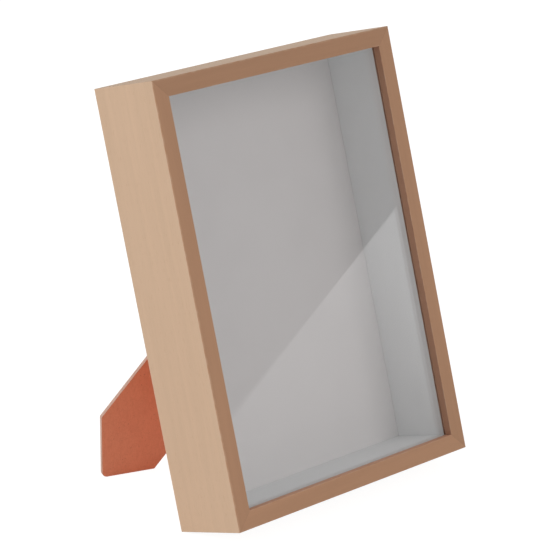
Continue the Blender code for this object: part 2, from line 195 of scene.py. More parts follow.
class Tree:
    """The node tree of a material or a world, built from scratch."""

    def __init__(self, owner: Any) -> None:
        """Empties the owner's tree.

        Args:
            owner: The material or world that the tree belongs to.
        """
        owner.use_nodes = True
        self.nodes = owner.node_tree.nodes
        self.links = owner.node_tree.links
        self.nodes.clear()

    def node(self, kind: str, settings: Mapping[str, Any] | None = None,
             inputs: Mapping[Any, Value] | None = None) -> bpy.types.Node:
        """Adds a node.

        Args:
            kind: The node's type without its ShaderNode prefix.
            settings: Its settings, such as an operation. They are set first.
            inputs: Values or links of its input sockets, by name or by number.

        Returns:
            The new node.
        """
        made = self.nodes.new("ShaderNode" + kind)
        for name, value in (settings or {}).items():
            setattr(made, name, value)
        for key, value in (inputs or {}).items():
            socket = made.inputs[key]
            if isinstance(value, Socket):
                self.links.new(value.output, socket)
            elif socket.type == "RGBA":
                socket.default_value = (*value, 1.0)
            else:
                socket.default_value = value
        return made

    def get(self, kind: str, output: Any = 0, settings: Mapping[str, Any] | None = None,
            inputs: Mapping[Any, Value] | None = None) -> Socket:
        """Adds a node and takes one of its outputs.

        Args:
            kind: The node's type without its ShaderNode prefix.
            output: The output's name or number.
            settings: The node's settings.
            inputs: Values or links of its input sockets.

        Returns:
            The output.
        """
        return Socket(self, self.node(kind, settings, inputs).outputs[output])

    def math(self, operation: str, *values: Value) -> Socket:
        """One Math node on values or sockets."""
        return self.get("Math", 0, {"operation": operation}, dict(enumerate(values)))

    def vector(self, operation: str, *values: Value) -> Socket:
        """One Vector Math node on vectors or sockets."""
        return self.get("VectorMath", 0, {"operation": operation}, dict(enumerate(values)))

    def along(self, point: Socket, way: Vector) -> Socket:
        """How far a point lies along a way."""
        return self.get("VectorMath", "Value", {"operation": "DOT_PRODUCT"}, {0: point, 1: way})

    def mix(self, share: Value, first: Value, second: Value) -> Socket:
        """Two colours mixed.

        Args:
            share: How much of the second colour shows.
            first: The first colour.
            second: The second colour.

        Returns:
            The mixed colour.
        """
        return self.get("Mix", 2, {"data_type": "RGBA"}, {0: share, 6: first, 7: second})

    def ramp(self, value: Value, start: float, end: float) -> Socket:
        """A smooth step of a value, from 0 at start to 1 at end."""
        return self.get("MapRange", 0, {"interpolation_type": "SMOOTHSTEP"},
                        {"Value": value, "From Min": start, "From Max": end})

    def place(self, seed: float = 0.0) -> Socket:
        """The point on the piece in its own axes, moved along by a seed."""
        point = self.get("Attribute", "Vector", {"attribute_name": OWN_PLACE})
        return self.vector("ADD", point, (seed, seed, seed))

    def axes(self, point: Socket) -> tuple[Socket, ...]:
        """A point's three coordinates."""
        split = self.node("SeparateXYZ", None, {0: point})
        return tuple(Socket(self, output) for output in split.outputs)

    def worn(self) -> Socket:
        """1 on the edges that get rubbed and 0 elsewhere."""
        return self.get("Attribute", "Fac", {"attribute_name": WORN})

    def noise(self, point: Socket, noise: Noise) -> Socket:
        """A noise read at a point."""
        return self.get("TexNoise", 0, None, {
            "Vector": self.vector("MULTIPLY", point, noise.stretch), "Scale": 1.0,
            "Detail": noise.detail, "Distortion": noise.distortion})

    def total(self, values: Sequence[Socket], shares: Shares) -> Socket:
        """The sum of values, each times its share."""
        first, *others = (value * share for value, share in zip(values, shares))
        return sum(others, first)

    def bump(self, height: Socket, depth: float, strength: float) -> Socket:
        """A surface normal that follows a height from 0 to 1, over a depth in metres."""
        return self.get("Bump", 0, None, {"Strength": strength, "Distance": depth,
                                          "Height": height})

    def finish(self, kind: str, surface: Socket) -> None:
        """Sends a shader to the tree's output, a Material or World one."""
        self.node("Output" + kind, None, {"Surface": surface})

    def rays(self, *kinds: str) -> tuple[Socket, ...]:
        """For each kind of ray, such as Camera, 1 where that kind arrives and 0 elsewhere."""
        path = self.node("LightPath")
        return tuple(Socket(self, path.outputs[f"Is {kind} Ray"]) for kind in kinds)

    def seen_directly(self) -> Socket:
        """1 for rays from the camera, a mirror or clear glass, and 0 for the light's own."""
        camera, glossy, through = self.rays("Camera", "Glossy", "Transmission")
        return 1 - (1 - camera) * (1 - glossy) * (1 - through)


def toned(colour: Colour, tone: float) -> Colour:
    """A colour made paler or darker by a tone, which is 1 where it stays the same."""
    red, green, blue = colour
    return (red * tone, green * tone, blue * tone)


@dataclass(frozen=True)
class PaleWood:
    """Fine-grained pale hardwood under a thin matte lacquer.

    A span is where a value starts to show and where it shows in full.

    Attributes:
        seed: Tells one rail's grain from another's.
        tone: Painted light on the rail's outer faces: how much paler or darker they are drawn
            than the other rails'.
        lip_painted_light: The same painted light for its front face.
        inner_painted_light: The same painted light for the lip's inner edge.
        half_length: Half the rail's length, to where its mitres start.
        lip_width: Width of the front lip.
        eased: Radius of the outer edges.
        lip_eased: Radius of the lip's inner edges.
        light: Colour of the light grain on the outer faces.
        dark: Colour of the dark grain there.
        shaded_lip_light: Light grain on the front face, drawn darker and browner than on the
            outer faces: painted shade, as the lamps leave that face in shade.
        shaded_lip_dark: Dark grain there, with the same painted shade.
        inner: The lip's inner edge, drawn darker and browner: painted shade in that recess.
        worn: Colour of rubbed edges.
        pore: Colour of the pores.
        glue: Colour of the glue line in a mitre.
        streaks: The grain's streaks, along the rail.
        fibres: Its fibres.
        clouds: Its broad clouds.
        grain_shares: How much streaks, fibres and clouds count in the dark grain.
        grain_span: Span of the dark grain.
        front_span: Span of the front face's painted shade colour, as shares of the outer edge's
            radius.
        inner_span: Span of the inner edge's painted shade, as shares of that edge's radius.
        pores: The pores.
        pore_span: Span of the pores.
        pore_share: How much of their colour shows.
        patches: The rubbed patches along the edges.
        patch_span: Span of those patches.
        worn_share: How much of the rubbed colour shows.
        glue_span: Span of the glue line, as distances from the mitre.
        glue_share: How much of the glue's colour shows.
        roughness: Middle of its roughness.
        roughness_shares: How far fibres, pores and rubbed edges change it.
        sheen: How strongly the lacquer mirrors.
        relief: Depth of its grain.
        relief_shares: How far streaks and fibres stand up and pores sink in.
        relief_strength: How strongly the relief shows.
    """

    seed: float
    tone: float
    lip_painted_light: float
    inner_painted_light: float
    half_length: float
    lip_width: float
    eased: float
    lip_eased: float
    light: Colour = (0.697, 0.485, 0.332)
    dark: Colour = (0.646, 0.450, 0.306)
    shaded_lip_light: Colour = (0.58, 0.317, 0.186)
    shaded_lip_dark: Colour = (0.53, 0.289, 0.169)
    inner: Colour = (0.47, 0.25, 0.16)
    worn: Colour = (0.78, 0.60, 0.45)
    pore: Colour = (0.46, 0.27, 0.16)
    glue: Colour = (0.30, 0.16, 0.09)
    streaks: Noise = Noise((9.0, 260.0, 260.0), 4.0, 0.4)
    fibres: Noise = Noise((70.0, 2400.0, 2400.0))
    clouds: Noise = Noise((11.0, 40.0, 40.0))
    grain_shares: Shares = (0.5, 0.2, 0.3)
    grain_span: Span = (0.30, 0.70)
    front_span: Span = (1.0, 1 / 4)
    inner_span: Span = (1 / 3, 1 / 12)
    pores: Noise = Noise((260.0, 4800.0, 4800.0), 0.0)
    pore_span: Span = (0.70, 0.80)
    pore_share: float = 0.3
    patches: Noise = Noise((240.0, 320.0, 320.0), 3.0)
    patch_span: Span = (0.34, 0.70)
    worn_share: float = 0.25
    glue_span: Span = (0.00010, 0.00003)
    glue_share: float = 0.35
    roughness: float = 0.58
    roughness_shares: Shares = (0.16, 0.15, -0.06)
    sheen: float = 0.20
    relief: float = 0.00005
    relief_shares: Shares = (0.35, 0.4, -0.5)
    relief_strength: float = 0.5

    def material(self) -> bpy.types.Material:
        """The finish as a material, with its grain along the rail."""
        made = bpy.data.materials.new(f"pale_wood_{self.seed:g}")
        tree = Tree(made)
        point = tree.place(self.seed)
        streaks = tree.noise(point, self.streaks)
        fibres = tree.noise(point, self.fibres)
        clouds = tree.noise(point, self.clouds)
        pores = tree.ramp(tree.noise(point, self.pores), *self.pore_span)
        grain = tree.ramp(tree.total((streaks, fibres, clouds), self.grain_shares),
                          *self.grain_span)
        along, depth, inward = tree.axes(tree.place())
        # The outer faces' colour is scaled by the rail's painted light tone.
        outside = tree.mix(grain, toned(self.light, self.tone), toned(self.dark, self.tone))
        # The front face takes a darker, browner copy of the grain: painted shade on that face.
        front = tree.mix(grain, toned(self.shaded_lip_light, self.lip_painted_light),
                         toned(self.shaded_lip_dark, self.lip_painted_light))
        face = tree.ramp(depth, *(self.eased * share for share in self.front_span))
        colour = tree.mix(face, outside, front)
        # The lip's inner edge is painted darker: painted shade in the recess.
        edge = tree.ramp(inward, *(self.lip_width - self.lip_eased * share
                                   for share in self.inner_span))
        colour = tree.mix(edge, colour, toned(self.inner, self.inner_painted_light))
        colour = tree.mix(pores * self.pore_share, colour, self.pore)
        patches = tree.ramp(tree.noise(point, self.patches), *self.patch_span)
        rubbed = tree.worn()
        colour = tree.mix(rubbed * patches * self.worn_share, colour, self.worn)
        from_mitre = self.half_length - abs(along) - inward
        colour = tree.mix(tree.ramp(from_mitre, *self.glue_span) * self.glue_share, colour,
                          self.glue)
        height = tree.total((streaks, fibres, pores), self.relief_shares)
        surface = tree.get("BsdfPrincipled", 0, None, {
            "Base Color": colour,
            "Roughness": self.roughness + tree.total((fibres - MIDDLE, pores, rubbed),
                                                     self.roughness_shares),
            "Specular IOR Level": self.sheen,
            "Normal": tree.bump(height, self.relief, self.relief_strength),
        })
        tree.finish("Material", surface)
        return made


@dataclass(frozen=True)
class Fibreboard:
    """Pressed wood fibre, smooth on its faces and rough where it is sawn.

    Attributes:
        name: Name of the material.
        light: Colour of its pale fibres.
        dark: Colour of its dark fibres.
        fleck: Colour of the few darkest fibres.
        rubbed: Colour of its rubbed edges.
        roughness: Middle of its roughness.
        relief: Depth of its fibres.
        upright: The fibres that lie up and down.
        level: The fibres that lie across.
        clouds: Its broad clouds.
        flecks: Its darkest fibres.
        tone_shares: How much fibres and clouds count in its dark tone.
        tone_span: Where that tone starts to show and where it shows in full.
        fleck_span: The same for the darkest fibres.
        fleck_share: How much of their colour shows.
        rubbed_span: Where clouds of the rubbed colour start and where they show in full.
        roughness_share: How far the fibres change its roughness.
        sheen: How strongly it mirrors.
        relief_shares: How far the fibres stand up and the darkest ones sink in.
        relief_strength: How strongly the relief shows.
    """

    name: str
    light: Colour
    dark: Colour
    fleck: Colour
    rubbed: Colour
    roughness: float
    relief: float
    upright: Noise = Noise((260.0, 1800.0, 900.0), 3.0, 1.5)
    level: Noise = Noise((1500.0, 1200.0, 240.0), 3.0, 1.5)
    clouds: Noise = Noise((45.0, 45.0, 45.0), 3.0)
    flecks: Noise = Noise((900.0, 900.0, 900.0))
    tone_shares: Shares = (0.65, 0.35)
    tone_span: Span = (0.40, 0.68)
    fleck_span: Span = (0.66, 0.74)
    fleck_share: float = 0.5
    rubbed_span: Span = (0.35, 0.6)
    roughness_share: float = 0.2
    sheen: float = 0.35
    relief_shares: Shares = (1.0, -0.4)
    relief_strength: float = 0.6

    def material(self) -> bpy.types.Material:
        """The finish as a material."""
        made = bpy.data.materials.new(self.name)
        tree = Tree(made)
        point = tree.place()
        fibres = tree.math("MAXIMUM", tree.noise(point, self.upright),
                           tree.noise(point, self.level))
        clouds = tree.noise(point, self.clouds)
        flecks = tree.ramp(tree.noise(point, self.flecks), *self.fleck_span)
        tone = tree.ramp(tree.total((fibres, clouds), self.tone_shares), *self.tone_span)
        colour = tree.mix(tone, self.light, self.dark)
        colour = tree.mix(flecks * self.fleck_share, colour, self.fleck)
        colour = tree.mix(tree.worn() * tree.ramp(clouds, *self.rubbed_span), colour,
                          self.rubbed)
        height = tree.total((fibres, flecks), self.relief_shares)
        surface = tree.get("BsdfPrincipled", 0, None, {
            "Base Color": colour,
            "Roughness": self.roughness + (fibres - MIDDLE) * self.roughness_share,
            "Specular IOR Level": self.sheen,
            "Normal": tree.bump(height, self.relief, self.relief_strength),
        })
        tree.finish("Material", surface)
        return made


@dataclass(frozen=True)
class WhiteBoard:
    """Matte white paper on board.

    Attributes:
        name: Name of the material.
        light: Colour of the paper.
        dark: Colour of its faint clouds.
        fleck: Colour of the few fibres that show.
        scuffed: Colour of its handled edges.
        clouds: Its clouds.
        tooth: The paper's tooth.
        flecks: Its fibres.
        tone_shares: How much clouds and tooth count in its darker tone.
        fleck_span: Where a fibre starts to show and where it shows in full.
        fleck_share: How much of the fibres' colour shows.
        scuffed_share: How much of the handled edges' colour shows.
        roughness: Middle of its roughness.
        roughness_share: How far the tooth changes it.
        sheen: How strongly it mirrors.
        relief: Depth of its tooth.
        relief_strength: How strongly the tooth shows.
    """

    name: str
    light: Colour
    dark: Colour
    fleck: Colour = (0.66, 0.65, 0.62)
    scuffed: Colour = (0.70, 0.68, 0.65)
    clouds: Noise = Noise((60.0, 60.0, 60.0), 3.0)
    tooth: Noise = Noise((2600.0, 2600.0, 2600.0), 3.0)
    flecks: Noise = Noise((700.0, 700.0, 700.0), 1.0, 2.0)
    tone_shares: Shares = (0.7, 0.3)
    fleck_span: Span = (0.72, 0.78)
    fleck_share: float = 0.3
    scuffed_share: float = 0.5
    roughness: float = 0.80
    roughness_share: float = 0.12
    sheen: float = 0.25
    relief: float = 0.00003
    relief_strength: float = 0.15

    def material(self) -> bpy.types.Material:
        """The finish as a material."""
        made = bpy.data.materials.new(self.name)
        tree = Tree(made)
        point = tree.place()
        clouds = tree.noise(point, self.clouds)
        tooth = tree.noise(point, self.tooth)
        flecks = tree.ramp(tree.noise(point, self.flecks), *self.fleck_span)
        tone = tree.total((clouds, tooth), self.tone_shares)
        colour = tree.mix(tone, self.light, self.dark)
        colour = tree.mix(flecks * self.fleck_share, colour, self.fleck)
        colour = tree.mix(tree.worn() * clouds * self.scuffed_share, colour, self.scuffed)
        surface = tree.get("BsdfPrincipled", 0, None, {
            "Base Color": colour,
            "Roughness": self.roughness + (tooth - MIDDLE) * self.roughness_share,
            "Specular IOR Level": self.sheen,
            "Normal": tree.bump(tooth, self.relief, self.relief_strength),
        })
        tree.finish("Material", surface)
        return made


@dataclass(frozen=True)
class ClearGlass:
    """Thin float glass. Lamps shine through it unbent, as they do through a real pane.

    Attributes:
        tint: Colour of the glass.
        filmed: Colour where the faintest film lies on it.
        ground: Colour of its ground edges.
        index: How strongly it bends light.
        film: The film.
        film_span: Where the film starts to show and where it shows in full.
    """

    tint: Colour = (0.99, 0.985, 0.985)
    filmed: Colour = (0.975, 0.97, 0.97)
    ground: Colour = (0.80, 0.88, 0.85)
    index: float = 1.5
    film: Noise = Noise((30.0, 30.0, 30.0), 4.0, 1.0)
    film_span: Span = (0.45, 0.75)

    def material(self) -> bpy.types.Material:
        """The finish as a material."""
        made = bpy.data.materials.new("clear_glass")
        tree = Tree(made)
        film = tree.ramp(tree.noise(tree.place(), self.film), *self.film_span)
        colour = tree.mix(film, self.tint, self.filmed)
        pane = tree.get("BsdfPrincipled", 0, None, {
            "Base Color": tree.mix(tree.worn(), colour, self.ground),
            "Roughness": 0.0,
            "IOR": self.index,
            "Transmission Weight": 1.0,
        })
        open_way = tree.get("BsdfTransparent", 0, None, {"Color": self.filmed})
        shadow, spread = tree.rays("Shadow", "Diffuse")
        surface = tree.get("MixShader", 0, None,
                           {0: tree.math("MAXIMUM", shadow, spread), 1: pane, 2: open_way})
        tree.finish("Material", surface)
        return made


@dataclass(frozen=True)
class ZincSteel:
    """Bright zinc plate on pressed steel.

    Attributes:
        light: Colour of the plating.
        dark: Colour of its duller patches.
        polished: Colour of its rubbed edges.
        roughness: Middle of its roughness.
        roughness_shares: How far patches, drawing marks and rubbed edges change it.
        relief: Depth of the marks that drawing left.
        relief_strength: How strongly they show.
        patches: The dull patches.
        drawn: The drawing marks.
        patch_span: Where a dull patch starts to show and where it shows in full.
        polished_share: How much of the rubbed edges' colour shows.
    """

    light: Colour = (0.66, 0.67, 0.68)
    dark: Colour = (0.50, 0.51, 0.53)
    polished: Colour = (0.76, 0.76, 0.75)
    roughness: float = 0.34
    roughness_shares: Shares = (0.25, 0.15, -0.10)
    relief: float = 0.00001
    relief_strength: float = 0.4
    patches: Noise = Noise((420.0, 420.0, 420.0), 3.0, 0.8)
    drawn: Noise = Noise((350.0, 5000.0, 5000.0))
    patch_span: Span = (0.35, 0.70)
    polished_share: float = 0.8

    def material(self) -> bpy.types.Material:
        """The finish as a material."""
        made = bpy.data.materials.new("zinc_steel")
        tree = Tree(made)
        point = tree.place()
        patches = tree.noise(point, self.patches)
        drawn = tree.noise(point, self.drawn)
        rubbed = tree.worn()
        colour = tree.mix(tree.ramp(patches, *self.patch_span), self.light, self.dark)
        surface = tree.get("BsdfPrincipled", 0, None, {
            "Base Color": tree.mix(rubbed * self.polished_share, colour, self.polished),
            "Metallic": 1.0,
            "Roughness": self.roughness + tree.total((patches - MIDDLE, drawn - MIDDLE, rubbed),
                                                     self.roughness_shares),
            "Normal": tree.bump(drawn, self.relief, self.relief_strength),
        })
        tree.finish("Material", surface)
        return made


HARDBOARD_FACE = Fibreboard("hardboard_face", (0.88, 0.335, 0.185), (0.79, 0.28, 0.15),
                            (0.55, 0.17, 0.09), (0.80, 0.42, 0.28), 0.52, 0.00003)
HARDBOARD_EDGE = Fibreboard("hardboard_edge", (0.68, 0.46, 0.37), (0.57, 0.36, 0.28),
                            (0.42, 0.24, 0.17), (0.72, 0.51, 0.42), 0.85, 0.00008)
STRIP_END = Fibreboard("strip_end", (0.55, 0.33, 0.24), (0.46, 0.26, 0.19),
                       (0.33, 0.17, 0.12), (0.60, 0.44, 0.36), 0.85, 0.00008)
WHITE_CARD = WhiteBoard("white_card", (0.81, 0.79, 0.785), (0.77, 0.75, 0.745))
WHITE_STRIP = WhiteBoard("white_strip", (0.80, 0.815, 0.82), (0.765, 0.78, 0.78))
CLEAR_GLASS = ClearGlass()
ZINC_STEEL = ZincSteel()

Finish = Union[PaleWood, Fibreboard, WhiteBoard, ClearGlass, ZincSteel]


@lru_cache(maxsize=None)
def material_of(finish: Finish) -> bpy.types.Material:
    """The one material of a finish."""
    return finish.material()


class BoxAxes:
    """The leaning box's own axes and outer size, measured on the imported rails.

    Attributes:
        back: The way to the back of the box.
        to_world: Takes a point from the box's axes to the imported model's.
        width: Outer width.
        depth: Outer depth.
        height: Outer height.
    """

    def __init__(self) -> None:
        """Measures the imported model."""
        self.back = Vector(joint_facts("button_top_left_turn")["axis"]).normalized()
        turned = Matrix.Rotation(math.asin(self.back.z), 4, "X")
        self.to_world = turned
        low, _ = self.extent("rail_bottom")
        self.to_world = turned @ Matrix.Translation((0, low.y, low.z))
        _, (_, self.depth, _) = self.extent("rail_bottom")
        self.width = 2 * self.extent("rail_right")[1].x
        self.height = self.extent("rail_top")[1].z

    def extent(self, node: str) -> tuple[Vector, Vector]:
        """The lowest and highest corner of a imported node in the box's axes."""
        turn = self.to_world.inverted()
        points = [turn @ vertex.co for vertex in frame["nodes"][node].data.vertices]
        return (Vector([min(point[axis] for point in points) for axis in range(3)]),
                Vector([max(point[axis] for point in points) for axis in range(3)]))

    def length(self, side: Side) -> float:
        """The length of a side over the outside."""
        return self.width if side.level else self.height

    def side(self, side: Side) -> Matrix:
        """Takes a point from a side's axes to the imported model's."""
        centres = {
            Side.BOTTOM: (0, 0, 0),
            Side.LEFT: (-self.width / 2, 0, self.height / 2),
            Side.TOP: (0, 0, self.height),
            Side.RIGHT: (self.width / 2, 0, self.height / 2),
        }
        turned = Matrix.Rotation(math.radians(90) * side.value, 4, "Y")
        return self.to_world @ Matrix.Translation(centres[side]) @ turned


def joint_facts(name: str) -> Mapping[str, Any]:
    """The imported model's facts on one joint."""
    return next(joint for joint in frame["joints"] if joint["name"] == name)


def put(name: str, shape: bmesh.types.BMesh, axes: Matrix, finishes: Sequence[Finish],
        slot: Slot, *nodes: str) -> None:
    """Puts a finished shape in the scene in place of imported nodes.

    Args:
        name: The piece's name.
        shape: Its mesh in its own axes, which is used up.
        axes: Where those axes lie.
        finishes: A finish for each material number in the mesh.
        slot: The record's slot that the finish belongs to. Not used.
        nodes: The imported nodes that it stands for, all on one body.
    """
    mesh = bpy.data.meshes.new(name)
    shape.to_mesh(mesh)
    shape.free()
    places = [value for vertex in mesh.vertices for value in vertex.co]
    mesh.attributes.new(OWN_PLACE, "FLOAT_VECTOR", "POINT").data.foreach_set("vector", places)
    mesh.transform(axes)
    mesh.shade_smooth()
    mesh.set_sharp_from_angle(angle=SHARP_ANGLE)
    for finish in finishes:
        mesh.materials.append(material_of(finish))
    piece = bpy.data.objects.new(name, mesh)
    bpy.context.scene.collection.objects.link(piece)
    even = piece.modifiers.new("even_shading", "WEIGHTED_NORMAL")
    even.keep_sharp = True
    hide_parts(*nodes)
    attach(piece, frame["nodes"][nodes[0]]["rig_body"])
    LOG.info("%s: %d faces, for %s", name, len(mesh.polygons), ", ".join(nodes))


def soften(shape: bmesh.types.BMesh, ease: float) -> None:
    """Rounds a shape's sharp edges, and marks the rounding as worn."""
    worn = shape.faces.layers.float.new(WORN)
    sharp = [edge for edge in shape.edges if edge.calc_face_angle(0.0) > SHARP_ANGLE]
    rounding = bmesh.ops.bevel(shape, geom=sharp, offset=ease, segments=2, profile=0.5,
                               affect="EDGES", clamp_overlap=True)
    for face in rounding["faces"]:
        face[worn] = 1.0
    bmesh.ops.dissolve_degenerate(shape, dist=WELD, edges=shape.edges)


def eased_box(low: Vector, high: Vector, ease: float) -> bmesh.types.BMesh:
    """A box between two corners with eased edges."""
    shape = bmesh.new()
    bmesh.ops.create_cube(shape, size=1)
    bmesh.ops.scale(shape, verts=shape.verts, vec=high - low)
    bmesh.ops.translate(shape, verts=shape.verts, vec=(low + high) / 2)
    soften(shape, ease)
    return shape


def eased_node(node: str, ease: float, shift: Vector | None = None) -> bmesh.types.BMesh:
    """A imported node's shape with its flat faces whole and its sharp edges eased.

    Args:
        node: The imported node.
        ease: How far back from an edge the rounding starts.
        shift: How far the shape moves, to touch what it seats on.

    Returns:
        The new shape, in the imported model's axes.
    """
    shape = bmesh.new()
    shape.from_mesh(frame["nodes"][node].data)
    bmesh.ops.remove_doubles(shape, verts=shape.verts, dist=WELD)
    bmesh.ops.dissolve_limit(shape, angle_limit=FLAT_ANGLE, verts=shape.verts,
                             edges=shape.edges)
    soften(shape, ease)
    bmesh.ops.translate(shape, verts=shape.verts, vec=shift or Vector())
    return shape


def number_faces(shape: bmesh.types.BMesh, way: Vector, along: int, across: int) -> None:
    """Numbers a shape's materials by whether a face looks along a way or across it."""
    shape.normal_update()
    for face in shape.faces:
        looks_along = abs(face.normal.dot(way)) > LOOKS_ALONG
        face.material_index = along if looks_along else across


@dataclass
class Moulding:
    """The four rails, an L in section and mitred at the corners.

    Attributes:
        box: The box's axes.
        wall: Thickness of the wall.
        lip_depth: Depth of the front lip.
        edge_round: Radius of the eased outer edges.
        lip_round: Radius of the lip's inner edges.
        corner_round: Radius of the box's outer corners.
        shoulder: How far wear reaches past an eased edge.
        round_steps: Faces across an eased edge.
        seed_step: How far apart the rails' grain is read.
    """

    box: BoxAxes
    wall: float = 0.005
    lip_depth: float = 0.0038
    edge_round: float = 0.00046
    lip_round: float = 0.0002
    corner_round: float = 0.0002
    shoulder: float = 0.0003
    round_steps: int = 4
    seed_step: float = 1.7

    def build(self) -> None:
        """Builds and dresses a rail for each side."""
        low, high = self.box.extent("rail_bottom")
        lip = high.z - low.z
        for side in Side:
            length = self.box.length(side)
            # Each rail's tones are painted light: its faces are drawn paler or darker as light
            # falls on them.
            finish = PaleWood(self.seed_step * side.value + 1, *PAINTED_LIGHT_TONES[side.label], length / 2,
                              lip, self.edge_round, self.lip_round)
            put("moulding_" + side.label, self.rail(length, lip), self.box.side(side),
                [finish], Slot.WOOD, "rail_" + side.label)

    def section(self, lip: float) -> list[Point]:
        """The rail's section.

        Args:
            lip: Width of the front lip.

        Returns:
            Depth, distance into the box and wear of each point, going round once.
        """
        depth = self.box.depth
        hollow = (self.lip_depth, self.wall)
        corners = [(0, 0), (depth, 0), (depth, self.wall), hollow, (self.lip_depth, lip),
                   (0, lip)]
        points: list[Point] = []
        for index, corner in enumerate(corners):
            if corner == hollow:
                points.append((*corner, 0.0))
                continue
            here = Vector(corner)
            back = (Vector(corners[index - 1]) - here).normalized()
            ahead = (Vector(corners[(index + 1) % len(corners)]) - here).normalized()
            ease = self.lip_round if corner[1] == lip else self.edge_round
            reach = ease + self.shoulder
            centre = here + (back + ahead) * ease
            points.append((*(here + back * reach), 0.0))
            for step in range(self.round_steps + 1):
                turn = math.radians(90) * step / self.round_steps
                outward = ahead * math.cos(turn) + back * math.sin(turn)
                points.append((*(centre - outward * ease), 1.0))
            points.append((*(here + ahead * reach), 0.0))
        return points

    def left_end(self, lip: float) -> list[list[tuple[Point, float]]]:
        """Places and wear round the rail's left end, from its mitre to its straight part.

        The box's outer corner is eased, so each point near it lies on an arc about the
        corner's own centre line, which the two rails share half and half.

        Args:
            lip: Width of the front lip.

        Returns:
            A ring of points for each step, with X from the rail's end.
        """
        section, ease = self.section(lip), self.corner_round
        rings = []
        for step in range(self.round_steps + 1):
            turn = math.radians(45) * (1 - step / self.round_steps)
            ring = []
            for depth, inward, wear in section:
                radius = ease - inward
                if radius > 0:
                    place = (ease - radius * math.sin(turn), depth,
                             ease - radius * math.cos(turn))
                    ring.append((place, 1.0))
                else:
                    ring.append(((inward, depth, inward), wear))
            rings.append(ring)
        rings.append([((max(inward, ease) + self.shoulder, depth, inward), wear)
                      for depth, inward, wear in section])
        return rings

    def rail(self, length: float, lip: float) -> bmesh.types.BMesh:
        """One rail along X.

        Args:
            length: The rail's length over its outer face.
            lip: Width of the front lip.

        Returns:
            The rail in its side's axes.
        """
        half = length / 2 - HAIRLINE
        ends = [[((x - half, y, z), wear) for (x, y, z), wear in ring]
                for ring in self.left_end(lip)]
        rings = ends + [[((-x, y, z), wear) for (x, y, z), wear in ring]
                        for ring in reversed(ends)]
        shape = bmesh.new()
        worn = shape.verts.layers.float.new(WORN)
        made = []
        for ring in rings:
            row = [shape.verts.new(place) for place, _ in ring]
            for vertex, (_, wear) in zip(row, ring):
                vertex[worn] = wear
            made.append(row)
        for first, second in zip(made, made[1:]):
            for index in range(len(first)):
                after = (index + 1) % len(first)
                shape.faces.new((first[index], first[after], second[after], second[index]))
        shape.faces.new(made[0])
        shape.faces.new(made[-1])
        bmesh.ops.remove_doubles(shape, verts=shape.verts, dist=WELD)
        bmesh.ops.recalc_face_normals(shape, faces=shape.faces)
        return shape


@dataclass
class Layers:
    """What lies in the box: the glass, the white strips and card, and the back panel.

    Attributes:
        box: The box's axes.
        glass_ease: Width of the glass's ground edges.
        board_ease: Rounding of the strips' and the panel's edges.
        card_ease: Rounding of the thin card's edges.
    """

    box: BoxAxes
    glass_ease: float = 0.0002
    board_ease: float = 0.00015
    card_ease: float = 0.00006

    def build(self) -> None:
        """Builds the layers, each against the next."""
        glass_back = self.sheet("glass_sheet", "glass_pane", self.glass_ease, CLEAR_GLASS,
                                Slot.GLASS, -SEAT_SHIFT)
        card_front, _ = self.box.extent("backing_card")
        for side in Side:
            node = "spacer_" + side.label
            low, high = self.box.extent(node)
            low.y = glass_back + HAIRLINE
            high.y = card_front.y - HAIRLINE
            if not side.level:
                low.z -= SEAT_SHIFT
                high.z += SEAT_SHIFT
            strip = eased_box(low, high, self.board_ease)
            number_faces(strip, Vector((0, 1, 0)), along=1, across=0)
            put("lining_" + side.label, strip, self.box.to_world, [WHITE_STRIP, STRIP_END],
                Slot.BOARD, node)
        self.sheet("white_card", "backing_card", self.card_ease, WHITE_CARD, Slot.BOARD, 0)
        panel = eased_node("back_panel", self.board_ease)
        number_faces(panel, self.box.back, along=0, across=1)
        put("hardboard_back", panel, Matrix(), [HARDBOARD_FACE, HARDBOARD_EDGE],
            Slot.HARDBOARD, "back_panel")

    def sheet(self, name: str, node: str, ease: float, finish: Finish, slot: Slot,
              shift: float) -> float:
        """A flat sheet where a packed one lies.

        Args:
            name: The sheet's name.
            node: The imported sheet.
            ease: Rounding of its edges.
            finish: Its finish.
            slot: The record's slot of that finish.
            shift: How far back it moves to lie against its neighbour.

        Returns:
            Depth of its back.
        """
        low, high = self.box.extent(node)
        low.y += shift
        high.y += shift
        put(name, eased_box(low, high, ease), self.box.to_world, [finish], slot, node)
        return high.y


@dataclass
class Fixings:
    """The nails in the mitres, and the turn buttons with their screws.

    Attributes:
        box: The box's axes.
        ease: Rounding of the buttons' edges.
        fine_ease: Rounding of the nails' and screws' edges.
        nail_proud: How far a nail stands out of the wood.
    """

    box: BoxAxes
    ease: float = 0.00015
    fine_ease: float = 0.00004
    nail_proud: float = 0.00005

    def build(self) -> None:
        """Builds a nail, a button and a screw for each corner."""
        pieces = (("nail_", "corner_nail_", self.fine_ease, SEAT_GAP + self.nail_proud),
                  ("latch_", "turn_button_", self.ease, -SEAT_SHIFT),
                  ("screw_", "button_screw_", self.fine_ease, -2 * SEAT_SHIFT))
        for corner in CORNERS:
            for name, node, ease, out in pieces:
                put(name + corner, eased_node(node + corner, ease, self.box.back * out),
                    Matrix(), [ZINC_STEEL], Slot.STEEL, node + corner)


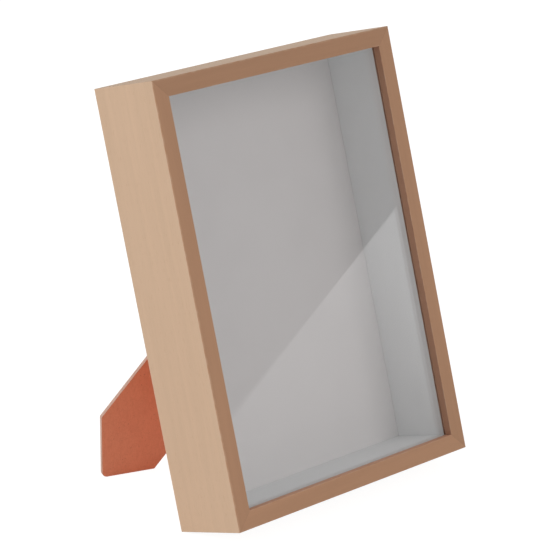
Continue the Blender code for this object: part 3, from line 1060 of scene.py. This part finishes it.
@dataclass
class Easel:
    """The strut's board, its hinge and its rivets.

    Attributes:
        box: The box's axes.
        board_ease: Rounding of the board's edges.
        steel_ease: Rounding of the leaves' edges.
        fine_ease: Rounding of the pin's and rivets' edges.
    """

    box: BoxAxes
    board_ease: float = 0.0002
    steel_ease: float = 0.00012
    fine_ease: float = 0.00006

    def build(self) -> None:
        """Builds the board and its metal."""
        board = eased_node("easel_strut", self.board_ease)
        swing = self.swing_back()
        number_faces(board, swing, along=0, across=1)
        put("strut_board", board, Matrix(), [HARDBOARD_FACE, HARDBOARD_EDGE],
            Slot.HARDBOARD, "easel_strut")
        for name, node, ease in (("leaf_on_panel", "hinge_panel_leaf", self.steel_ease),
                                 ("leaf_on_strut", "hinge_strut_leaf", self.steel_ease),
                                 ("hinge_wire", "hinge_pin", self.fine_ease)):
            put(name, eased_node(node, ease), Matrix(), [ZINC_STEEL], Slot.STEEL, node)
        for board_name, way in (("panel", self.box.back), ("strut", swing)):
            for hand in HANDS:
                node = f"{board_name}_rivet_{hand}"
                rivet = eased_node(node, self.fine_ease, -way * SEAT_SHIFT)
                put(f"rivet_{board_name}_{hand}", rivet, Matrix(), [ZINC_STEEL], Slot.STEEL,
                    node)

    def swing_back(self) -> Vector:
        """The way out of the open strut's back."""
        joint = joint_facts("strut_fold")
        opened = Matrix.Rotation(math.radians(-joint["range_deg"][0]), 3, Vector(joint["axis"]))
        return opened @ self.box.back


@dataclass
class Studio:
    """The floor, the light, what the glass mirrors, and the camera.

    Attributes:
        floor_size: Side of the square floor.
        floor_tone: How pale the floor is to the light's own rays.
        floor_glow: How bright the camera sees it where no light falls.
        floor_shade: How pale it is beneath that glow, which leaves a trace of a shadow.
        ambient: Strength of the light from all round.
        key_place: Where the large lamp behind on the left is.
        key_power: Its power in watts.
        fill_place: Where the large lamp high in front is.
        fill_power: Its power in watts.
        lamp_size: Side of each square lamp.
        card_edge: Two points on the line where the two mirrored cards meet.
        card_reach: How far the cards reach past those points.
        card_height: How far each reaches away from that line.
        card_tone: How bright the upper card looks.
        glow_tone: How bright the lower card's far end looks.
        glow_grade: Where its brightness starts and stops rising from plain white, as shares of
            the way between the two points.
        camera_place: Where the camera is.
        camera_turn: Its pitch from straight down and its heading, in degrees.
        camera_lens: Its focal length on a sensor 36 mm wide, in millimetres.
    """

    floor_size: float = 12.0
    floor_tone: float = 0.92
    floor_glow: float = 0.94
    floor_shade: float = 0.22
    ambient: float = 0.43
    key_place: Point = (-4.37, 1.80, 2.75)
    key_power: float = 119.0
    fill_place: Point = (1.12, -4.50, 3.12)
    fill_power: float = 38.0
    lamp_size: float = 2.75
    card_edge: tuple[Point, Point] = ((1.1396, -1.4103, 0.1390), (1.3022, -1.2451, 0.2771))
    card_reach: float = 0.9
    card_height: float = 1.2
    card_tone: float = 0.40
    glow_tone: float = 1.52
    glow_grade: Span = (0.40, 0.88)
    camera_place: Point = (-0.91477, -0.91513, 0.50692)
    camera_turn: tuple[float, float] = (72.331, -45.217)
    camera_lens: float = 194.82

    def build(self) -> None:
        """Builds the studio."""
        self.camera()
        self.floor()
        self.world()
        self.lamp("key", self.key_place, self.key_power)
        self.lamp("fill", self.fill_place, self.fill_power)
        self.cards()
        bpy.context.scene.view_settings.view_transform = "Standard"

    def camera(self) -> None:
        """Adds the camera at the photograph's viewing angle."""
        data = bpy.data.cameras.new("camera")
        data.lens = self.camera_lens
        camera = bpy.data.objects.new("camera", data)
        bpy.context.scene.collection.objects.link(camera)
        camera.location = self.camera_place
        pitch, heading = self.camera_turn
        camera.rotation_euler = (math.radians(pitch), 0, math.radians(heading))
        bpy.context.scene.camera = camera

    def sheet(self, name: str, corners: Sequence[Sequence[float]],
              material: bpy.types.Material) -> bpy.types.Object:
        """A flat stage piece between four corners.

        Args:
            name: Its name.
            corners: Its corners, going round once.
            material: Its material.

        Returns:
            The stage piece.
        """
        mesh = bpy.data.meshes.new(name)
        mesh.from_pydata([tuple(corner) for corner in corners], [], [tuple(range(4))])
        mesh.materials.append(material)
        made = bpy.data.objects.new(name, mesh)
        bpy.context.scene.collection.objects.link(made)
        return made

    def floor(self) -> None:
        """Adds the pale floor, which the camera sees white but for the object's shadow."""
        material = bpy.data.materials.new("pale_floor")
        tree = Tree(material)
        plain = tree.get("BsdfDiffuse", 0, None, {"Color": toned(WHITE, self.floor_tone)})
        shaded = tree.get("BsdfDiffuse", 0, None, {"Color": toned(WHITE, self.floor_shade)})
        glow = tree.get("Emission", 0, None, {"Color": WHITE, "Strength": self.floor_glow})
        white = tree.get("AddShader", 0, None, {0: shaded, 1: glow})
        tree.finish("Material", tree.get("MixShader", 0, None,
                                         {0: tree.seen_directly(), 1: plain, 2: white}))
        reach = self.floor_size / 2
        self.sheet("floor", [(-reach, -reach, 0), (reach, -reach, 0), (reach, reach, 0),
                             (-reach, reach, 0)], material)

    def world(self) -> None:
        """Sets the light from all round, with white behind the object."""
        world = bpy.data.worlds.new("studio")
        tree = Tree(world)
        light = tree.get("Background", 0, None, {"Color": WHITE, "Strength": self.ambient})
        white = tree.get("Background", 0, None, {"Color": WHITE, "Strength": 1.0})
        tree.finish("World", tree.get("MixShader", 0, None,
                                      {0: tree.seen_directly(), 1: light, 2: white}))
        bpy.context.scene.world = world

    def lamp(self, name: str, place: Point, power: float) -> None:
        """Adds a large soft lamp that shines at the object.

        Args:
            name: Its name.
            place: Where it is.
            power: Its power in watts.
        """
        data = bpy.data.lights.new(name, "AREA")
        data.shape = "SQUARE"
        data.size = self.lamp_size
        data.energy = power
        lamp = bpy.data.objects.new(name, data)
        bpy.context.scene.collection.objects.link(lamp)
        lamp.location = place
        lamp.rotation_euler = (-Vector(place)).to_track_quat("-Z", "Y").to_euler()
        lamp.visible_camera = False

    def cards(self) -> None:
        """Adds the grey card and the bright one below it, which only glass and metal mirror."""
        start, end = (Vector(point) for point in self.card_edge)
        along = (end - start).normalized()
        low, high = start - along * self.card_reach, end + along * self.card_reach
        up = along.cross(start + end).normalized() * self.card_height
        if up.z < 0:
            up.negate()
        for name, tone, way, graded in (("grey_card", self.card_tone, up, False),
                                        ("bright_card", self.glow_tone, -up, True)):
            material = bpy.data.materials.new(name)
            tree = Tree(material)
            colour: Value = WHITE
            if graded:
                place = tree.along(tree.get("TexCoord", "Object"), along)
                rise = tree.ramp(place, *(start.lerp(end, share).dot(along)
                                          for share in self.glow_grade))
                colour = tree.mix(rise, toned(WHITE, 1 / tone), WHITE)
            tree.finish("Material", tree.get("Emission", 0, None,
                                             {"Color": colour, "Strength": tone}))
            card = self.sheet(name, [low, high, high + way, low + way], material)
            card.visible_camera = False
            card.visible_diffuse = False
            card.visible_shadow = False


def main() -> None:
    """Builds the studio and dresses the frame, part by part."""
    logging.basicConfig(level=logging.INFO, format="%(name)s %(message)s")
    Studio().build()
    box = BoxAxes()
    for part in (Moulding(box), Layers(box), Fixings(box), Easel(box)):
        part.build()


if __name__ == "__main__":
    main()
